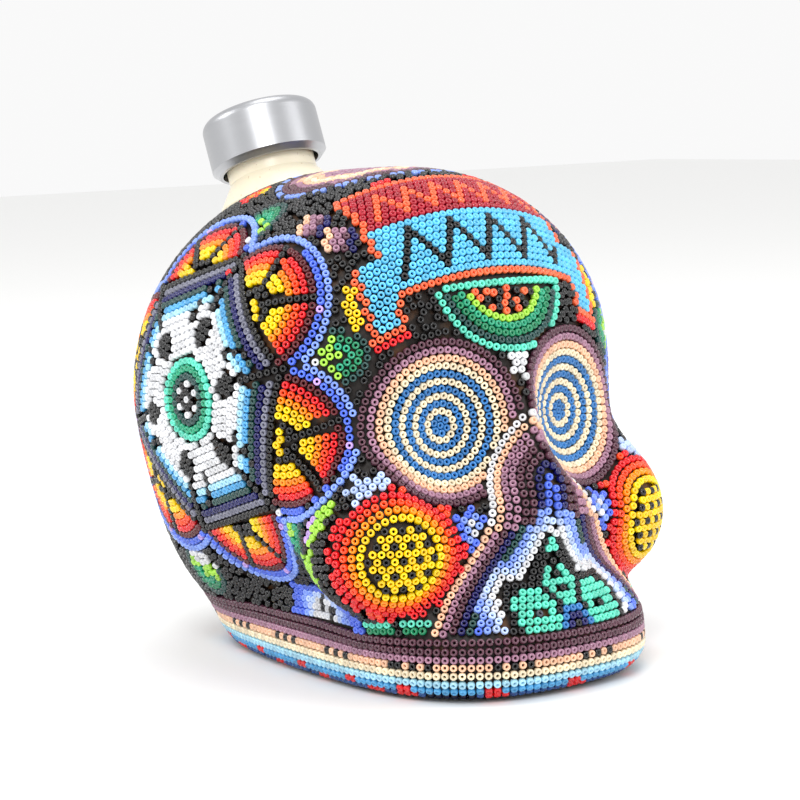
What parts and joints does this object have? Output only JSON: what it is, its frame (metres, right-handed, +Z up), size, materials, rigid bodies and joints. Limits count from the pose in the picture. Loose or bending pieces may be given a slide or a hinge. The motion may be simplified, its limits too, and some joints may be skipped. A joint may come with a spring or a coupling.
{
  "type": "beaded skull bottle",
  "caption": "Skull-shaped glazed bottle covered in coloured glass seed beads pressed into wax, with a leaning neck at the back of the crown and a pull-out metal-capped stopper.",
  "frame": {"origin": "centre of the flat foot, on the table, in the mid-plane of the skull", "axes": "+Z up, face toward -Y, the skull's right side toward -X; the neck leans back toward +Y"},
  "size_m": [0.1182, 0.1519, 0.1498],
  "materials": {
    "bottle_glaze": "satin cream glaze",
    "beeswax": "dark beeswax, pressed by hand",
    "beads_jaw_band": "glossy opaque glass seed beads set in wax",
    "beads_nose_panel": "glossy opaque glass seed beads set in wax",
    "beads_banner_lower": "glossy opaque glass seed beads set in wax",
    "beads_banner_upper": "glossy opaque glass seed beads set in wax",
    "beads_brow_diamond": "glossy opaque glass seed beads set in wax",
    "beads_crown_roundel": "glossy opaque glass seed beads set in wax",
    "beads_fruit_slice": "glossy opaque glass seed beads set in wax",
    "beads_black_field": "glossy opaque glass seed beads set in wax",
    "beads_eye_roundel": "glossy opaque glass seed beads set in wax",
    "beads_cheek_sun": "glossy opaque glass seed beads set in wax",
    "beads_banner_hem": "glossy opaque glass seed beads set in wax",
    "beads_medallion": "glossy opaque glass seed beads set in wax",
    "beads_petal": "glossy opaque glass seed beads set in wax",
    "beads_petal_border": "glossy opaque glass seed beads set in wax",
    "cap_metal": "satin anodised",
    "head_plastic": "moulded",
    "cork": "pressed cork"
  },
  "bodies": {
    "bottle_body": {"bottle_bowl": "bottle_glaze", "bottle_dome": "bottle_glaze", "bottle_neck": "bottle_glaze", "wax_coat": "beeswax", "jaw_band": "beads_jaw_band", "nose_panel": "beads_nose_panel", "banner_lower": "beads_banner_lower", "banner_upper": "beads_banner_upper", "brow_diamond": "beads_brow_diamond", "crown_roundel": "beads_crown_roundel", "fruit_slice": "beads_fruit_slice", "black_field": "beads_black_field", "eye_roundel_right": "beads_eye_roundel", "cheek_sun_right": "beads_cheek_sun", "banner_hem_right": "beads_banner_hem", "medallion_right": "beads_medallion", "petal_right_1": "beads_petal", "petal_right_2": "beads_petal", "petal_right_3": "beads_petal", "petal_right_4": "beads_petal", "petal_right_5": "beads_petal", "petal_right_6": "beads_petal", "petal_border_right": "beads_petal_border", "eye_roundel_left": "beads_eye_roundel", "cheek_sun_left": "beads_cheek_sun", "banner_hem_left": "beads_banner_hem", "medallion_left": "beads_medallion", "petal_left_1": "beads_petal", "petal_left_2": "beads_petal", "petal_left_3": "beads_petal", "petal_left_4": "beads_petal", "petal_left_5": "beads_petal", "petal_left_6": "beads_petal", "petal_border_left": "beads_petal_border"},
    "stopper": {"cap_shell": "cap_metal", "stopper_head": "head_plastic", "cork_shank": "cork"}
  },
  "joints": [
    {"name": "stopper_pull", "type": "slide", "parent": "bottle_body", "child": "stopper", "axis": [0, 0.3584, 0.9336], "range_m": [0, 0.045]}
  ]
}
